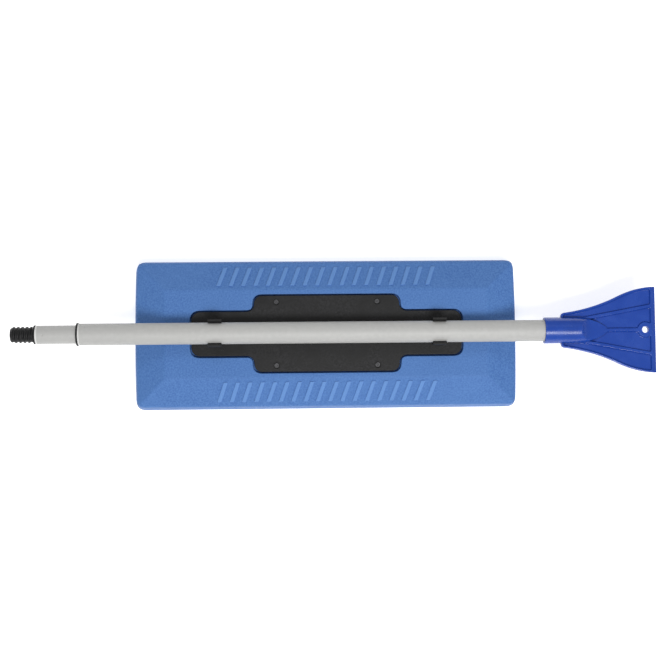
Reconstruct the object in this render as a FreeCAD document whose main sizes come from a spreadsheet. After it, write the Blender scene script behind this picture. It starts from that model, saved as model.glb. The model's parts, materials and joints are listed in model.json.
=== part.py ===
"""Telescoping snow broom with an ice scraper, packed for storage.

A foam head lies on its working face (z = 0, origin at the middle of that face). A steel pole in two
telescoping tubes is snapped into the clips on the head's back plate, along X, with the scraper at +X.
Every size is in millimetres and lives in the sheet "dim"; the bodies read it through expressions.
"""
import FreeCAD, Part
import math
import os
import re

import Sketcher
from FreeCAD import Rotation, Vector

# Driving sizes, each set once.
SIZES = {
    # how far a cutting shape runs past the face that it opens
    "overcut": 1.0,
    # foam head
    "board_length": 457.2, "board_width": 177.8, "board_corner": 11.5,
    "wall_height": 22.0, "wall_draft": 3.3,
    "end_slope": 33.8, "side_slope": 33.35, "plateau_height": 38.0, "plateau_corner": 3.0,
    "pocket_gap": 1.5, "pocket_depth": 2.5,
    # stiffener moulded into the foam
    "core_end_inset": 10.0, "core_side_inset": 1.0, "core_corner": 8.0, "core_thickness": 3.0,
    "core_height": 14.0, "boss_diameter": 9.0, "pilot_spare": 0.5,
    # back plate, its screws and its threaded socket
    "plate_thickness": 3.5, "plate_end_margin": 31.5, "plate_end_width": 52.3,
    "plate_end_round": 10.0, "plate_middle_length": 172.0, "plate_side_margin": 7.25,
    "plate_step_round": 9.0,
    "plate_edge_round": 0.6,
    "screw_spacing_long": 119.5, "screw_edge": 7.3,
    "screw_head_diameter": 5.4, "screw_head_height": 1.6, "screw_shank_diameter": 3.0,
    "screw_end_room": 5.0, "screw_slot": 1.0, "screw_slot_depth": 0.9,
    "screw_slot_reach": 0.62,
    "head_hole_gap": 1.3, "head_hole_depth": 2.0,
    "socket_wall": 2.6, "socket_depth": 27.0, "socket_lead_in": 1.5, "thread_clearance": 0.1,
    # snap clips that hold the pole
    "clip_inset": 28.5, "clip_length": 16.0, "clip_wall": 3.2, "clip_seat": 2.0,
    "clip_clearance": 0.3, "clip_wrap_angle": 27.0, "clip_outer_angle": 15.0,
    "clip_lip_out": 2.6, "clip_lip_up": 3.2, "clip_lip_land": 1.5,
    "clip_foot_length": 20.0, "clip_foot_width": 38.0, "clip_foot_height": 0.7,
    # pole
    "outer_diameter": 25.4, "outer_wall": 0.8, "outer_length": 584.7, "outer_offset": 2.65,
    "inner_wall": 0.8, "inner_showing": 47.3, "lock_room": 74.0,
    "dent_count": 3, "dent_radius": 1.6, "dent_depth": 0.5,
    "outer_dent_place": 7.7, "inner_dent_place": 9.0,
    "outer_dent_angle": 40.0, "inner_dent_angle": -6.0,
    "collar_lip": 0.9, "collar_flange": 2.0, "collar_length": 20.0, "collar_wall": 1.0,
    "press_gap": 0.02, "running_gap": 0.08,
    # threaded tip, a 3/4 inch broom thread with five turns to the inch
    "thread_diameter": 19.05, "thread_depth": 1.225, "thread_pitch": 5.08, "thread_length": 27.0,
    "ridge_foot": 3.6, "ridge_top": 1.5, "ridge_sink": 0.4, "thread_tip_plain": 3.2,
    "thread_runout": 1.6, "tip_chamfer": 1.6,
    "tip_flange": 2.0, "tip_flange_lip": 0.3, "tip_plug_length": 20.0, "tip_bore": 11.0,
    "tip_bore_depth": 2.0,
    # twist lock at the inner tube's hidden end
    "lock_plug_length": 25.0, "lock_shoulder": 2.0, "lock_screw_diameter": 6.0,
    "lock_screw_length": 60.0, "lock_screw_bite": 18.0, "lock_gap": 0.5, "lock_sleeve_gap": 0.25,
    "lock_sleeve_length": 22.0, "lock_sleeve_floor": 3.0, "lock_mouth_wall": 1.85,
    "lock_throat_wall": 3.45, "lock_cone_gap": 0.35, "lock_cone_inset": 3.5,
    "lock_cone_length": 21.0, "lock_slit": 3.0, "lock_key_gap": 0.3, "lock_key_height": 1.4,
    "lock_key_inset": 2.0, "lock_ring_diameter": 10.0, "lock_ring_thickness": 1.2,
    "lock_ring_place": 2.0, "lock_ring_groove": 0.6, "lock_screw_chamfer": 0.5,
    # scraper, along X from its mouth
    "grip_depth": 40.0, "barrel_wall": 2.78, "arch_start": 38.0, "facet_start": 42.5,
    "hood_tip": 77.5, "hood_round": 58.0, "hood_foot_sink": 0.6, "mouth_round": 0.8,
    "blade_front": 132.7, "blade_width": 101.6, "blade_thickness": 7.0, "web_thickness": 2.2,
    "shoulder_place": 19.8, "shoulder_step": 5.3, "shoulder_round": 5.0,
    "flare_middle": 88.0, "flare_share": 0.637, "flare_end": 130.7, "flare_in_radius": 205.0,
    "flare_out_radius": 108.0, "rim_width": 2.4, "front_rim": 0.6,
    "chisel_length": 5.2, "chisel_edge": 0.9,
    "rib_width": 2.8, "rib_angle": 10.5, "side_rib_place": 58.2, "side_rib_start": 24.0,
    "hang_hole_diameter": 8.0, "hang_hole_place": 120.1, "hang_boss_diameter": 17.0,
    "scraper_screw_place": 13.0, "scraper_screw_head": 6.0, "scraper_screw_head_height": 1.8,
    "scraper_screw_diameter": 3.0, "scraper_screw_bite": 1.0,
}

# Places that follow from the driving sizes.
FOLLOWS = {
    "plateau_length": "board_length - 2 * wall_draft - 2 * end_slope",
    "plateau_width": "board_width - 2 * wall_draft - 2 * side_slope",
    "plate_length": "plateau_length - 2 * plate_end_margin",
    "plate_middle_width": "plateau_width - 2 * plate_side_margin",
    "core_length": "plate_length - 2 * core_end_inset",
    "core_width": "plate_middle_width - 2 * core_side_inset",
    "screw_spacing_short": "plate_middle_width - 2 * screw_edge",
    "clip_spacing": "plate_length - 2 * clip_inset",
    "boss_height": "plate_bottom - core_top",
    "screw_bite": "boss_height - screw_end_room",
    "screw_length": "plate_thickness - head_hole_depth + screw_bite",
    "pilot_depth": "screw_bite + pilot_spare",
    "plate_bottom": "plateau_height - pocket_depth",
    "plate_top": "plate_bottom + plate_thickness",
    "core_top": "core_height + core_thickness",
    "socket_radius": "thread_diameter / 2 + thread_clearance",
    "socket_outer": "socket_radius + socket_wall",
    "socket_floor": "plate_top - socket_depth",
    "socket_bottom": "socket_floor - socket_wall",
    "clip_inner": "outer_diameter / 2 + clip_clearance",
    "clip_outer": "clip_inner + clip_wall",
    "pole_height": "plate_top + clip_seat + clip_inner",
    "outer_left": "outer_offset - outer_length / 2",
    "outer_right": "outer_offset + outer_length / 2",
    "scraper_mouth": "outer_right - grip_depth",
    "outer_bore": "outer_diameter / 2 - outer_wall",
    "collar_diameter": "outer_diameter + 2 * collar_lip",
    "inner_diameter": "2 * (outer_bore - press_gap - collar_wall - running_gap)",
    "inner_bore": "inner_diameter / 2 - inner_wall",
    "inner_left": "outer_left - collar_flange - inner_showing",
    "inner_right": "outer_right - lock_room",
    "inner_length": "inner_right - inner_left",
    "thread_root": "thread_diameter - 2 * thread_depth",
    "tip_flange_diameter": "inner_diameter + 2 * tip_flange_lip",
    "sleeve_left": "inner_right + lock_shoulder + lock_gap",
    "sleeve_right": "sleeve_left + lock_sleeve_length",
    "cone_left": "sleeve_left + lock_sleeve_floor + lock_cone_inset",
    "screw_right": "inner_right - lock_screw_bite + lock_screw_length",
    "sleeve_skin": "outer_bore - lock_sleeve_gap",
    "lock_mouth_radius": "sleeve_skin - lock_mouth_wall",
    "lock_throat_radius": "sleeve_skin - lock_throat_wall",
    "taper": "(lock_mouth_radius - lock_throat_radius) / (lock_sleeve_length - lock_sleeve_floor)",
    "barrel_diameter": "outer_diameter + 2 * (press_gap + barrel_wall)",
    "shoulder_width": "barrel_diameter + 2 * shoulder_step",
    "flare_middle_width": "shoulder_width + flare_share * (blade_width - shoulder_width)",
}

doc = FreeCAD.newDocument("snow_broom")
sheet = doc.addObject("Spreadsheet::Sheet", "dim")
for row, (name, value) in enumerate(SIZES.items(), start=1):
    sheet.set(f"A{row}", name)
    sheet.set(f"B{row}", str(value))
    sheet.setAlias(f"B{row}", name)
doc.recompute()

ALONG_X = Rotation(Vector(0, 1, 0), 90)


def formula(text):
    """Write the names in a formula as references to the sheet, following FOLLOWS down to it."""
    def swap(match):
        word = match[0]
        if word in FOLLOWS:
            return f"({formula(FOLLOWS[word])})"
        return f"dim.{word}" if word in SIZES else word
    return re.sub(r"[a-z_]+", swap, str(text))


def size(text):
    """The present value of a formula."""
    return float(sheet.evalExpression(formula(text)))


def bind(thing, **properties):
    """Bind properties to formulas; a double underscore in a name stands for a dot."""
    for name, text in properties.items():
        thing.setExpression(name.replace("__", "."), formula(text))


def origin_part(body, role):
    return next(part for part in body.Origin.OriginFeatures if part.Role == role)


def new_body(label):
    return doc.addObject("PartDesign::Body", label)


def new_sketch(body, name, role, distance="0"):
    """A sketch on one of the body's own origin planes, moved along the plane's normal."""
    sketch = body.newObject("Sketcher::SketchObject", name)
    sketch.AttachmentSupport = [(origin_part(body, role), "")]
    sketch.MapMode = "FlatFace"
    bind(sketch, AttachmentOffset__Base__z=distance)
    return sketch


def arc_middle(start, end, radius, turn):
    """The middle of the short arc from start to end; turn is 1 counter-clockwise, -1 clockwise."""
    chord = end - start
    left = Vector(-chord.y, chord.x, 0).normalize() * turn
    to_centre = math.sqrt(max(radius ** 2 - (chord.Length / 2) ** 2, 0))
    return (start + end) / 2 + left * (to_centre - radius)


def draw(sketch, corners):
    """A closed outline. Each corner is (x, y) where a straight edge starts, or (x, y, radius, turn)
    where an arc starts; x, y and radius are formulas, bound by constraints."""
    places = [Vector(size(corner[0]), size(corner[1]), 0) for corner in corners]
    ends = []
    for number, corner in enumerate(corners):
        start, end = places[number], places[(number + 1) % len(places)]
        if len(corner) == 2:
            edge = sketch.addGeometry(Part.LineSegment(start, end), False)
        else:
            middle = arc_middle(start, end, size(corner[2]), corner[3])
            edge = sketch.addGeometry(Part.Arc(start, middle, end), False)
        forward = (sketch.getPoint(edge, 1) - start).Length < (sketch.getPoint(edge, 2) - start).Length
        ends.append((edge, 1, 2) if forward else (edge, 2, 1))
    for number, (edge, start_of, end_of) in enumerate(ends):
        following, next_start, _ = ends[(number + 1) % len(ends)]
        sketch.addConstraint(Sketcher.Constraint("Coincident", edge, end_of, following, next_start))
    for (edge, start_of, _), corner, place in zip(ends, corners, places):
        for kind, text, value in (("DistanceX", corner[0], place.x), ("DistanceY", corner[1], place.y)):
            rule = sketch.addConstraint(Sketcher.Constraint(kind, -1, 1, edge, start_of, value))
            sketch.setExpression(f"Constraints[{rule}]", formula(text))
        if len(corner) > 2:
            rule = sketch.addConstraint(Sketcher.Constraint("Radius", edge, size(corner[2])))
            sketch.setExpression(f"Constraints[{rule}]", formula(corner[2]))


def draw_circle(sketch, across, up, radius):
    circle = Part.Circle(Vector(size(across), size(up), 0), Vector(0, 0, 1), size(radius))
    edge = sketch.addGeometry(circle, False)
    for kind, text in (("DistanceX", across), ("DistanceY", up)):
        rule = sketch.addConstraint(Sketcher.Constraint(kind, -1, 1, edge, 3, size(text)))
        sketch.setExpression(f"Constraints[{rule}]", formula(text))
    rule = sketch.addConstraint(Sketcher.Constraint("Radius", edge, size(radius)))
    sketch.setExpression(f"Constraints[{rule}]", formula(radius))


def rounded_rectangle(length, width, radius):
    """The corners of draw() for a rectangle about the origin with round corners."""
    far, high = f"({length}) / 2", f"({width}) / 2"
    return [
        (f"{far} - ({radius})", f"-{high}", radius, 1), (far, f"-{high} + ({radius})"),
        (far, f"{high} - ({radius})", radius, 1), (f"{far} - ({radius})", high),
        (f"-{far} + ({radius})", high, radius, 1), (f"-{far}", f"{high} - ({radius})"),
        (f"-{far}", f"-{high} + ({radius})", radius, 1), (f"-{far} + ({radius})", f"-{high}"),
    ]


def feature(body, kind, name, profile, **settings):
    """A PartDesign feature that adds to the body or cuts from it; its volume has to change."""
    before = body.Shape.Volume if body.Tip else 0
    made = body.newObject(f"PartDesign::{kind}", name)
    made.Profile = profile
    for setting, value in settings.items():
        if isinstance(value, str) and setting not in ("SideType", "Type"):
            bind(made, **{setting: value})
        else:
            setattr(made, setting, value)
    doc.recompute()
    grows = kind in ("Pad", "Revolution", "AdditiveLoft", "AdditiveHelix")
    change = body.Shape.Volume - before
    if (change > 0) != grows or abs(change) < 1e-3:
        raise ValueError(f"{body.Label}.{name} changed the volume by {change:.3f}")
    return made


def revolve(body, name, corners, kind="Revolution"):
    """A profile in X and radius, turned round the X axis."""
    sketch = new_sketch(body, name + "_profile", "XZ_Plane")
    draw(sketch, corners)
    axis = (origin_part(body, "X_Axis"), [""])
    return feature(body, kind, name, sketch, ReferenceAxis=axis, Angle=360)


def cylinder(name, radius, left, length):
    """A cylinder along X, starting at left."""
    made = doc.addObject("Part::Cylinder", name)
    bind(made, Radius=radius, Height=length)
    made.Placement.Rotation = ALONG_X
    bind(made, Placement__Base__x=left)
    return made


def box(name, left, near, low, length, width, height):
    made = doc.addObject("Part::Box", name)
    bind(made, Length=length, Width=width, Height=height, Placement__Base__x=left,
         Placement__Base__y=near, Placement__Base__z=low)
    return made


def joined(name, *pieces):
    made = doc.addObject("Part::MultiFuse", name)
    made.Shapes = list(pieces)
    return made


def cut(name, base, *tools):
    made = doc.addObject("Part::Cut", name)
    made.Base = base
    made.Tool = tools[0] if len(tools) == 1 else joined(name + "_cutters", *tools)
    return made


def common(name, *pieces):
    made = doc.addObject("Part::MultiCommon", name)
    made.Shapes = list(pieces)
    return made


def round_edges(body, name, kind, amount, wanted):
    """Round or bevel the edges of the body for which wanted(edge) is true."""
    base = body.Tip
    edges = [f"Edge{n}" for n, edge in enumerate(base.Shape.Edges, start=1) if wanted(edge)]
    made = body.newObject(f"PartDesign::{kind}", name)
    made.Base = (base, edges)
    bind(made, **{"Radius" if kind == "Fillet" else "Size": amount})
    body.Tip = made
    doc.recompute()


def lies_at(edge, height):
    """True where the whole edge lies at one height."""
    wanted = size(height)
    return abs(edge.BoundBox.ZMin - wanted) < 1e-4 and abs(edge.BoundBox.ZMax - wanted) < 1e-4


def plate_corners(grow):
    """The back plate's outline, a long bar with a wider middle, let out by grow all round.
    Corners that bulge out get a larger radius as it grows, corners that bulge in a smaller one."""
    far, near = f"(plate_length / 2 + {grow})", f"(plate_middle_length / 2 + {grow})"
    low, high = f"(plate_end_width / 2 + {grow})", f"(plate_middle_width / 2 + {grow})"
    out, inward = f"(plate_step_round + {grow})", f"(plate_step_round - {grow})"
    end = f"(plate_end_round + {grow})"
    quarter = [
        (far, f"{low} - {end}", end, 1), (f"{far} - {end}", low),
        (f"{near} + {inward}", low, inward, -1), (near, f"{low} + {inward}"),
        (near, f"{high} - {out}", out, 1), (f"{near} - {out}", high),
    ]

    def mirrored(corners, flip_x, flip_y):
        """The same run of corners on another quarter, in the opposite order when it is flipped once."""
        places = [(f"-{x}" if flip_x else x, f"-({y})" if flip_y else y)
                  for x, y in ((f"({corner[0]})", corner[1]) for corner in corners)]
        arcs = [corner[2:] for corner in corners]
        if flip_x != flip_y:
            places.reverse()
            arcs = [arcs[-2 - n] if n < len(arcs) - 1 else () for n in range(len(arcs))]
        return [place + tuple(arc) for place, arc in zip(places, arcs)]

    return (quarter + mirrored(quarter, True, False) + mirrored(quarter, True, True)
            + mirrored(quarter, False, True))


def screw_places():
    """The four back plate screws, as formulas."""
    return [(f"{x} * screw_spacing_long / 2", f"{y} * screw_spacing_short / 2")
            for x in (-1, 1) for y in (-1, 1)]


def make_core_plate():
    """The stiffener that the foam is moulded round: a plate with four bosses for the screws."""
    body = new_body("core_plate")
    outline = new_sketch(body, "core_outline", "XY_Plane", "core_height")
    draw(outline, rounded_rectangle("core_length", "core_width", "core_corner"))
    draw_circle(outline, "0", "0", "socket_outer")
    feature(body, "Pad", "core_sheet", outline, Length="core_thickness")
    bosses = new_sketch(body, "boss_circles", "XY_Plane", "core_top")
    pilots = new_sketch(body, "pilot_circles", "XY_Plane", "plate_bottom")
    for x, y in screw_places():
        draw_circle(bosses, x, y, "boss_diameter / 2")
        draw_circle(pilots, x, y, "screw_shank_diameter / 2")
    feature(body, "Pad", "bosses", bosses, Length="boss_height")
    feature(body, "Pocket", "pilot_holes", pilots, Length="pilot_depth")
    return body


def make_foam_head(core_plate):
    """The foam block: drafted side walls, four long slopes, a flat top with the plate's pocket."""
    blank = new_body("foam_blank")
    foot = new_sketch(blank, "foot_outline", "XY_Plane")
    draw(foot, rounded_rectangle("board_length", "board_width", "board_corner"))
    waist = new_sketch(blank, "waist_outline", "XY_Plane", "wall_height")
    draw(waist, rounded_rectangle("board_length - 2 * wall_draft", "board_width - 2 * wall_draft",
                                  "board_corner - wall_draft"))
    top = new_sketch(blank, "top_outline", "XY_Plane", "plateau_height")
    draw(top, rounded_rectangle("plateau_length", "plateau_width", "plateau_corner"))
    doc.recompute()
    feature(blank, "AdditiveLoft", "side_walls", foot, Sections=[waist], Ruled=True)
    feature(blank, "AdditiveLoft", "slopes", waist, Sections=[top], Ruled=True)
    pocket = new_sketch(blank, "pocket_outline", "XY_Plane", "plateau_height")
    draw(pocket, plate_corners("pocket_gap"))
    feature(blank, "Pocket", "plate_pocket", pocket, Length="pocket_depth")
    bosses = new_sketch(blank, "boss_hole_circles", "XY_Plane", "plate_bottom")
    for x, y in screw_places():
        draw_circle(bosses, x, y, "boss_diameter / 2")
    feature(blank, "Pocket", "boss_holes", bosses, Length="boss_height")
    socket = new_sketch(blank, "socket_hole_circle", "XY_Plane", "plate_bottom")
    draw_circle(socket, "0", "0", "socket_outer")
    feature(blank, "Pocket", "socket_hole", socket, Length="plate_bottom - socket_bottom")
    return cut("foam_head", blank, core_plate)


def make_back_plate():
    """The moulded back plate: snap clips for the pole, screw holes and the pole's threaded socket."""
    body = new_body("back_plate")
    outline = new_sketch(body, "plate_outline", "XY_Plane", "plate_bottom")
    draw(outline, plate_corners("0"))
    feature(body, "Pad", "plate", outline, Length="plate_thickness")
    round_edges(body, "plate_edge", "Fillet", "plate_edge_round", lambda edge: lies_at(edge, "plate_top"))
    cup = new_sketch(body, "socket_circle", "XY_Plane", "socket_bottom")
    draw_circle(cup, "0", "0", "socket_outer")
    feature(body, "Pad", "socket_cup", cup, Length="plate_bottom - socket_bottom")
    feet = new_sketch(body, "foot_outlines", "XY_Plane", "plate_top")
    for side in (-1, 1):
        middle = f"{side} * clip_spacing / 2"
        corners = [(f"{middle} + {x} * clip_foot_length / 2", f"{y} * clip_foot_width / 2")
                   for x, y in ((-1, -1), (1, -1), (1, 1), (-1, 1))]
        draw(feet, corners)
    feature(body, "Pad", "clip_feet", feet, Length="clip_foot_height")
    for side, name in ((-1, "left_clip"), (1, "right_clip")):
        profile = new_sketch(body, name + "_profile", "YZ_Plane", f"{side} * clip_spacing / 2")
        draw(profile, clip_corners())
        feature(body, "Pad", name, profile, Length="clip_length", SideType="Symmetric")
    heads = new_sketch(body, "head_circles", "XY_Plane", "plate_top")
    shanks = new_sketch(body, "shank_circles", "XY_Plane", "plate_top")
    for x, y in screw_places():
        draw_circle(heads, x, y, "screw_head_diameter / 2 + head_hole_gap")
        draw_circle(shanks, x, y, "screw_shank_diameter / 2")
    feature(body, "Pocket", "head_holes", heads, Length="head_hole_depth")
    feature(body, "Pocket", "shank_holes", shanks, Length="plate_thickness")
    bore = new_sketch(body, "bore_circle", "XY_Plane", "plate_top")
    draw_circle(bore, "0", "0", "socket_radius")
    feature(body, "Pocket", "socket_bore", bore, Length="socket_depth")
    mouth = 2 * math.pi * size("socket_radius")
    round_edges(body, "socket_mouth", "Chamfer", "socket_lead_in",
                lambda edge: lies_at(edge, "plate_top") and abs(edge.Length - mouth) < 1e-3)
    return body


def clip_corners():
    """A snap clip seen along the pole: an open ring with lips that spread as the pole goes in."""
    def at(radius, angle):
        return f"{radius} * cos({angle})", f"pole_height + {radius} * sin({angle})"

    tip = at("clip_inner", "clip_wrap_angle")
    root = at("clip_outer", "clip_outer_angle")
    lip_in = (f"{tip[0]} + clip_lip_out", f"{tip[1]} + clip_lip_up")
    lip_out = (f"{lip_in[0]} + clip_lip_land", lip_in[1])
    bottom_in = ("0", "pole_height - clip_inner")
    bottom_out = ("0", "pole_height - clip_outer")

    def other_side(place):
        return f"-({place[0]})", place[1]

    return [
        bottom_out + ("clip_outer", 1), root, lip_out, lip_in, tip + ("clip_inner", -1),
        bottom_in + ("clip_inner", -1), other_side(tip), other_side(lip_in), other_side(lip_out),
        other_side(root) + ("clip_outer", 1),
    ]


def pan_screw(name, head_diameter, head_height, shank_diameter, length):
    """A cross-slotted screw whose axis is Z, with its head on top and the head's underside at z = 0."""
    head = doc.addObject("Part::Cylinder", name + "_head")
    bind(head, Radius=f"({head_diameter}) / 2", Height=head_height)
    shank = doc.addObject("Part::Cylinder", name + "_shank")
    bind(shank, Radius=f"({shank_diameter}) / 2", Height=length, Placement__Base__z=f"-({length})")
    reach = f"({head_diameter}) * screw_slot_reach"
    floor = f"({head_height}) - screw_slot_depth"
    slots = [
        box(name + "_slot_long", f"-{reach} / 2", "-screw_slot / 2", floor, reach, "screw_slot",
            head_height),
        box(name + "_slot_wide", "-screw_slot / 2", f"-{reach} / 2", floor, "screw_slot", reach,
            head_height),
    ]
    return cut(name, joined(name + "_blank", head, shank), *slots)


def make_plate_screws():
    """Four self-tapping screws that pull the back plate down on the stiffener's bosses."""
    screws = []
    for number, (x, y) in enumerate(screw_places(), start=1):
        screw = pan_screw(f"plate_screw_{number}", "screw_head_diameter", "screw_head_height",
                          "screw_shank_diameter", "screw_length")
        bind(screw, Placement__Base__x=x, Placement__Base__y=y,
             Placement__Base__z="plate_top - head_hole_depth")
        screws.append(screw)
    group = doc.addObject("Part::Compound", "plate_screws")
    group.Links = screws
    return group


def make_tube(name, diameter, bore, left, length, dent_place, dent_angle):
    """A steel tube along X with three punched dents that hold the moulding inside its left end."""
    outside = cylinder(name + "_outside", f"{diameter} / 2", left, length)
    inside = cylinder(name + "_inside", bore, f"{left} - overcut", f"{length} + 2 * overcut")
    dents = []
    for number in range(int(size("dent_count"))):
        dent = doc.addObject("Part::Sphere", f"{name}_dent_{number + 1}")
        angle = f"({dent_angle} + {number} * 360 / dent_count)"
        away = f"({diameter} / 2 + dent_radius - dent_depth)"
        bind(dent, Radius="dent_radius", Placement__Base__x=f"{left} + {dent_place}",
             Placement__Base__y=f"{away} * sin({angle})", Placement__Base__z=f"{away} * cos({angle})")
        dents.append(dent)
    return cut(name, outside, inside, *dents)


def make_collar():
    """The plastic bush in the outer tube's end, which guides the inner tube."""
    body = new_body("collar_bush")
    bore = "inner_diameter / 2 + running_gap"
    sleeve = "outer_bore - press_gap"
    end = "outer_left + collar_length"
    face = "outer_left - collar_flange"
    revolve(body, "bush", [
        (face, bore), (end, bore), (end, sleeve), ("outer_left", sleeve),
        ("outer_left", "collar_diameter / 2"), (face, "collar_diameter / 2")])
    return body


def make_threaded_tip():
    """The moulded tip: a plug inside the inner tube, a flange, and a coarse rounded broom thread."""
    body = new_body("threaded_tip")
    left = "inner_left - tip_flange - thread_length"
    face = "inner_left - tip_flange"
    plug = "inner_bore - press_gap"
    end = "inner_left + tip_plug_length"
    root = "thread_root / 2"
    revolve(body, "core", [
        (left, "0"), (f"{end} - tip_bore_depth", "0"), (f"{end} - tip_bore_depth", "tip_bore / 2"),
        (end, "tip_bore / 2"),
        (end, plug), ("inner_left", plug), ("inner_left", "tip_flange_diameter / 2"),
        (face, "tip_flange_diameter / 2"), (face, root), (f"{left} + tip_chamfer", root),
        (left, f"{root} - tip_chamfer")])
    ridge = new_sketch(body, "ridge_profile", "XZ_Plane")
    start = f"{left} + thread_tip_plain"
    low = f"{root} - ridge_sink"
    lean = "(ridge_foot - ridge_top) / 2"
    draw(ridge, [
        (start, low), (f"{start} + ridge_foot", low),
        (f"{start} + ridge_foot - {lean}", "thread_diameter / 2"),
        (f"{start} + {lean}", "thread_diameter / 2")])
    axis = (origin_part(body, "X_Axis"), [""])
    doc.recompute()
    made = body.newObject("PartDesign::AdditiveHelix", "ridge")
    made.Profile = ridge
    made.ReferenceAxis = axis
    made.Mode = 0
    bind(made, Pitch="thread_pitch",
         Height="thread_length - thread_tip_plain - ridge_foot - thread_runout")
    body.Tip = made
    doc.recompute()
    return body


def make_lock():
    """The twist lock. Turning the inner tube screws the cone into the split sleeve, which then grips
    the outer tube's bore."""
    plug = new_body("lock_plug")
    screw_radius = "lock_screw_diameter / 2"
    plug_left = "inner_right - lock_plug_length"
    screw_left = "inner_right - lock_screw_bite"
    shoulder = "inner_right + lock_shoulder"
    plug_radius = "inner_bore - press_gap"
    revolve(plug, "plug", [
        (plug_left, "0"), (screw_left, "0"), (screw_left, screw_radius), (shoulder, screw_radius),
        (shoulder, "inner_diameter / 2"), ("inner_right", "inner_diameter / 2"),
        ("inner_right", plug_radius), (plug_left, plug_radius)])

    screw = new_body("lock_screw")
    ring_left = "screw_right - lock_ring_place - lock_ring_thickness"
    ring_right = "screw_right - lock_ring_place"
    neck = f"{screw_radius} - lock_ring_groove"
    revolve(screw, "screw", [
        (screw_left, "0"), ("screw_right", "0"),
        ("screw_right", f"{screw_radius} - lock_screw_chamfer"),
        ("screw_right - lock_screw_chamfer", screw_radius), (ring_right, screw_radius),
        (ring_right, neck),
        (ring_left, neck), (ring_left, screw_radius), (screw_left, screw_radius)])

    ring = new_body("lock_ring")
    revolve(ring, "ring", [
        (ring_left, neck), (ring_right, neck), (ring_right, "lock_ring_diameter / 2"),
        (ring_left, "lock_ring_diameter / 2")])

    sleeve = new_body("lock_sleeve")
    floor = "(sleeve_left + lock_sleeve_floor)"
    revolve(sleeve, "sleeve", [
        ("sleeve_left", f"{screw_radius} + lock_gap"), (floor, f"{screw_radius} + lock_gap"),
        (floor, "lock_throat_radius"), ("sleeve_right", "lock_mouth_radius"),
        ("sleeve_right", "sleeve_skin"), ("sleeve_left", "sleeve_skin")])
    slit = new_sketch(sleeve, "slit_outline", "XY_Plane")
    draw(slit, [
        (floor, "-lock_slit / 2"), ("sleeve_right + overcut", "-lock_slit / 2"),
        ("sleeve_right + overcut", "lock_slit / 2"), (floor, "lock_slit / 2")])
    feature(sleeve, "Pocket", "slit", slit, Length="outer_diameter", Reversed=True)

    cone = new_body("lock_cone")
    low_radius = f"(lock_throat_radius + taper * (cone_left - {floor}) - lock_cone_gap)"
    high_radius = f"({low_radius} + taper * lock_cone_length)"
    cone_right = "cone_left + lock_cone_length"
    thread = f"{screw_radius} + running_gap"
    revolve(cone, "cone", [
        ("cone_left", thread), (cone_right, thread), (cone_right, high_radius),
        ("cone_left", low_radius)])
    key_foot = f"({thread} + {low_radius}) / 2"
    key = new_sketch(cone, "key_outline", "XY_Plane", key_foot)
    half_key = "(lock_slit / 2 - lock_key_gap)"
    key_left = "cone_left + lock_key_inset"
    draw(key, [
        (key_left, f"-{half_key}"), (cone_right, f"-{half_key}"), (cone_right, half_key),
        (key_left, half_key)])
    feature(cone, "Pad", "key", key, Length=f"{low_radius} + lock_key_height - {key_foot}")
    return [plug, screw, ring, sleeve, cone]


def scraper_screw_hole(name, mouth):
    """The hole below the pole's axis for the screw that holds the scraper on the tube."""
    hole = doc.addObject("Part::Cylinder", name + "_screw_hole")
    bind(hole, Radius="scraper_screw_diameter / 2", Height="barrel_diameter",
         Placement__Base__x=f"{mouth} + scraper_screw_place", Placement__Base__z="-barrel_diameter")
    return hole


def blade_corners(inset, front):
    """The blade's outline in plan, from its round shoulders out through the flare to the front,
    drawn in by inset."""
    def half(width):
        return f"({width} / 2 - {inset})"

    back = f"(shoulder_place + {inset})"
    bend = f"(shoulder_round - {inset})" if inset != "0" else "shoulder_round"
    into, out = f"(flare_in_radius + {inset})", f"(flare_out_radius - {inset})"
    end = f"({front})"
    upper = [
        (end, half("blade_width")), ("flare_end", half("blade_width"), out, 1),
        ("flare_middle", half("flare_middle_width"), into, -1),
        (f"{back} + {bend}", half("shoulder_width"), bend, 1), (back, f"{half('shoulder_width')} - {bend}"),
    ]
    lower = [
        (back, f"-{half('shoulder_width')} + {bend}", bend, 1),
        (f"{back} + {bend}", f"-{half('shoulder_width')}", into, -1),
        ("flare_middle", f"-{half('flare_middle_width')}", out, 1),
        ("flare_end", f"-{half('blade_width')}"), (end, f"-{half('blade_width')}"),
    ]
    return upper + lower


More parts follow.
